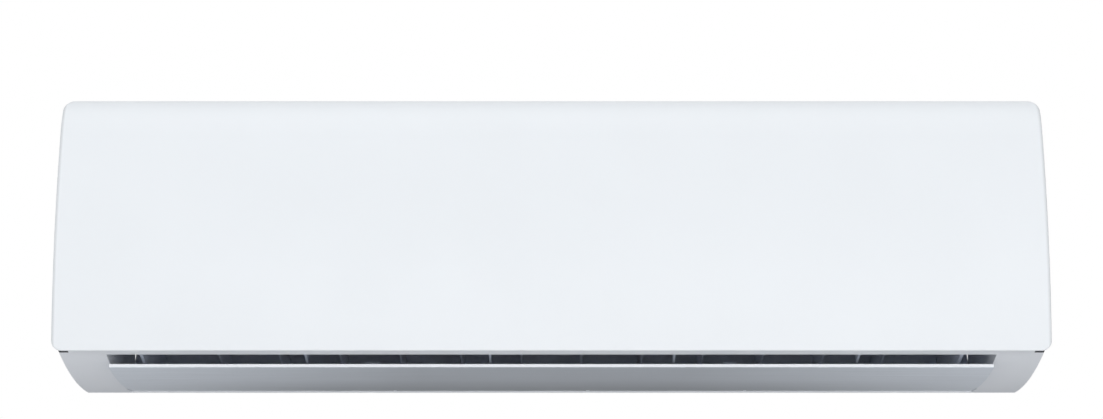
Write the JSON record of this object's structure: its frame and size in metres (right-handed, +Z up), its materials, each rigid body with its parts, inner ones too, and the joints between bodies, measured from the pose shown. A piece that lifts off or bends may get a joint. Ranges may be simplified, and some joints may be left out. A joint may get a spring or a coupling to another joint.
{
  "type": "mini split indoor unit",
  "caption": "Wall-mounted mini split indoor unit with lift-up front panel, swinging louvre flap, linked upright vanes and cross-flow fan.",
  "frame": {"origin": "centre of the mounting plate's back face, on the wall", "axes": "+Z up, -Y out of the wall towards the room, +X to the right seen from the front"},
  "size_m": [0.97, 0.2243, 0.3],
  "materials": {
    "panel_white": "glossy",
    "case_white": "satin",
    "flap_satin": "satin",
    "chassis_grey": "matte",
    "duct_grey": "matte",
    "zinc_steel": "satin",
    "rubber_black": "matte",
    "acetal_white": "satin",
    "motor_steel": "satin",
    "vane_grey": "satin",
    "fan_black": "satin",
    "shaft_steel": "glossy",
    "bronze": "satin",
    "fin_blue": "satin",
    "copper": "satin",
    "hose_ivory": "satin",
    "foam_grey": "matte",
    "brass": "satin",
    "filter_frame": "satin",
    "filter_mesh": "matte",
    "box_white": "matte",
    "board_green": "satin",
    "terminal_black": "satin",
    "window_smoke": "glossy",
    "button_grey": "satin"
  },
  "bodies": {
    "root": {"bearing_seat": "rubber_black", "case_screws": "shaft_steel", "coil_front": "fin_blue", "coil_plate_left": "zinc_steel", "coil_plate_right": "zinc_steel", "coil_rear": "fin_blue", "coil_tubes": "copper", "coil_upper": "fin_blue", "control_board": "board_green", "cord_clamp": "terminal_black", "display_board": "board_green", "display_window": "window_smoke", "drain_hose": "hose_ivory", "drain_plug": "rubber_black", "electrical_box": "box_white", "electrical_cover": "zinc_steel", "fan_bearing": "bronze", "fan_motor": "motor_steel", "filter_rails": "duct_grey", "flap_brackets": "vane_grey", "flap_bush": "acetal_white", "flap_motor": "motor_steel", "flare_nuts": "brass", "front_case": "case_white", "liquid_pipe": "copper", "motor_rubbers": "rubber_black", "mounting_plate": "zinc_steel", "outlet_duct": "duct_grey", "pipe_clamp": "zinc_steel", "pipe_insulation": "foam_grey", "rear_chassis": "chassis_grey", "suction_pipe": "copper", "temperature_sensors": "terminal_black", "terminal_block": "terminal_black", "wiring_cover": "zinc_steel"},
    "panel": {"front_panel": "panel_white"},
    "flap": {"louvre_flap": "flap_satin", "flap_motor_shaft": "acetal_white"},
    "fan": {"fan_rotor": "fan_black", "fan_stub_shaft": "shaft_steel", "fan_motor_shaft": "shaft_steel"},
    "filter_left": {"air_filter_left": "filter_frame", "filter_mesh_left": "filter_mesh"},
    "filter_right": {"air_filter_right": "filter_frame", "filter_mesh_right": "filter_mesh"},
    "button": {"manual_button": "button_grey"},
    "vane_left_1": {"vane_left_1": "vane_grey"},
    "vane_left_2": {"vane_left_2": "vane_grey"},
    "vane_left_3": {"vane_left_3": "vane_grey"},
    "vane_left_4": {"vane_left_4": "vane_grey"},
    "vane_left_5": {"vane_left_5": "vane_grey"},
    "vane_left_6": {"vane_left_6": "vane_grey"},
    "link_left": {"vane_link_left": "vane_grey"},
    "vane_right_1": {"vane_right_1": "vane_grey"},
    "vane_right_2": {"vane_right_2": "vane_grey"},
    "vane_right_3": {"vane_right_3": "vane_grey"},
    "vane_right_4": {"vane_right_4": "vane_grey"},
    "vane_right_5": {"vane_right_5": "vane_grey"},
    "vane_right_6": {"vane_right_6": "vane_grey"},
    "link_right": {"vane_link_right": "vane_grey"}
  },
  "joints": [
    {"name": "panel_hinge", "type": "hinge", "parent": "root", "child": "panel", "pos_m": [0, -0.166, 0.139], "axis": [-1, 0, 0], "range_deg": [0, 60]},
    {"name": "flap_swing", "type": "hinge", "parent": "root", "child": "flap", "pos_m": [0, -0.108, -0.138], "axis": [1, 0, 0], "range_deg": [-6.3, 55]},
    {"name": "fan_spin", "type": "hinge", "parent": "root", "child": "fan", "pos_m": [0, -0.104, -0.034], "axis": [1, 0, 0], "continuous": true},
    {"name": "filter_left_slide", "type": "hinge", "parent": "root", "child": "filter_left", "pos_m": [-0.205, -0.062, -0.003], "axis": [1, 0, 0], "range_deg": [0, 16]},
    {"name": "filter_right_slide", "type": "hinge", "parent": "root", "child": "filter_right", "pos_m": [0.205, -0.062, -0.003], "axis": [1, 0, 0], "range_deg": [0, 16]},
    {"name": "button_press", "type": "slide", "parent": "root", "child": "button", "axis": [0, 1, 0], "range_m": [0, 0.0015], "stiffness_N_per_m": 600},
    {"name": "vane_left_1_swing", "type": "hinge", "parent": "root", "child": "vane_left_1", "pos_m": [-0.3355, -0.085, -0.1246], "axis": [0, -0.8642, 0.5032], "range_deg": [-35, 35]},
    {"name": "vane_left_2_swing", "type": "hinge", "parent": "root", "child": "vane_left_2", "pos_m": [-0.2745, -0.085, -0.1246], "axis": [0, -0.8642, 0.5032], "range_deg": [-35, 35]},
    {"name": "vane_left_3_swing", "type": "hinge", "parent": "root", "child": "vane_left_3", "pos_m": [-0.2135, -0.085, -0.1246], "axis": [0, -0.8642, 0.5032], "range_deg": [-35, 35]},
    {"name": "vane_left_4_swing", "type": "hinge", "parent": "root", "child": "vane_left_4", "pos_m": [-0.1525, -0.085, -0.1246], "axis": [0, -0.8642, 0.5032], "range_deg": [-35, 35]},
    {"name": "vane_left_5_swing", "type": "hinge", "parent": "root", "child": "vane_left_5", "pos_m": [-0.0915, -0.085, -0.1246], "axis": [0, -0.8642, 0.5032], "range_deg": [-35, 35]},
    {"name": "vane_left_6_swing", "type": "hinge", "parent": "root", "child": "vane_left_6", "pos_m": [-0.0305, -0.085, -0.1246], "axis": [0, -0.8642, 0.5032], "range_deg": [-35, 35]},
    {"name": "link_left_pivot", "type": "hinge", "parent": "vane_left_1", "child": "link_left", "pos_m": [-0.3355, -0.12107, -0.12096], "axis": [0, -0.8642, 0.5032], "range_deg": [-35, 35]},
    {"name": "vane_right_1_swing", "type": "hinge", "parent": "root", "child": "vane_right_1", "pos_m": [0.0305, -0.085, -0.1246], "axis": [0, -0.8642, 0.5032], "range_deg": [-35, 35]},
    {"name": "vane_right_2_swing", "type": "hinge", "parent": "root", "child": "vane_right_2", "pos_m": [0.0915, -0.085, -0.1246], "axis": [0, -0.8642, 0.5032], "range_deg": [-35, 35]},
    {"name": "vane_right_3_swing", "type": "hinge", "parent": "root", "child": "vane_right_3", "pos_m": [0.1525, -0.085, -0.1246], "axis": [0, -0.8642, 0.5032], "range_deg": [-35, 35]},
    {"name": "vane_right_4_swing", "type": "hinge", "parent": "root", "child": "vane_right_4", "pos_m": [0.2135, -0.085, -0.1246], "axis": [0, -0.8642, 0.5032], "range_deg": [-35, 35]},
    {"name": "vane_right_5_swing", "type": "hinge", "parent": "root", "child": "vane_right_5", "pos_m": [0.2745, -0.085, -0.1246], "axis": [0, -0.8642, 0.5032], "range_deg": [-35, 35]},
    {"name": "vane_right_6_swing", "type": "hinge", "parent": "root", "child": "vane_right_6", "pos_m": [0.3355, -0.085, -0.1246], "axis": [0, -0.8642, 0.5032], "range_deg": [-35, 35]},
    {"name": "link_right_pivot", "type": "hinge", "parent": "vane_right_1", "child": "link_right", "pos_m": [0.0305, -0.12107, -0.12096], "axis": [0, -0.8642, 0.5032], "range_deg": [-35, 35]}
  ],
  "couplings": [
    {"joint": "vane_left_2_swing", "follows": "vane_left_1_swing", "ratio": 1},
    {"joint": "vane_left_3_swing", "follows": "vane_left_1_swing", "ratio": 1},
    {"joint": "vane_left_4_swing", "follows": "vane_left_1_swing", "ratio": 1},
    {"joint": "vane_left_5_swing", "follows": "vane_left_1_swing", "ratio": 1},
    {"joint": "vane_left_6_swing", "follows": "vane_left_1_swing", "ratio": 1},
    {"joint": "link_left_pivot", "follows": "vane_left_1_swing", "ratio": -1},
    {"joint": "vane_right_2_swing", "follows": "vane_right_1_swing", "ratio": 1},
    {"joint": "vane_right_3_swing", "follows": "vane_right_1_swing", "ratio": 1},
    {"joint": "vane_right_4_swing", "follows": "vane_right_1_swing", "ratio": 1},
    {"joint": "vane_right_5_swing", "follows": "vane_right_1_swing", "ratio": 1},
    {"joint": "vane_right_6_swing", "follows": "vane_right_1_swing", "ratio": 1},
    {"joint": "link_right_pivot", "follows": "vane_right_1_swing", "ratio": -1}
  ]
}
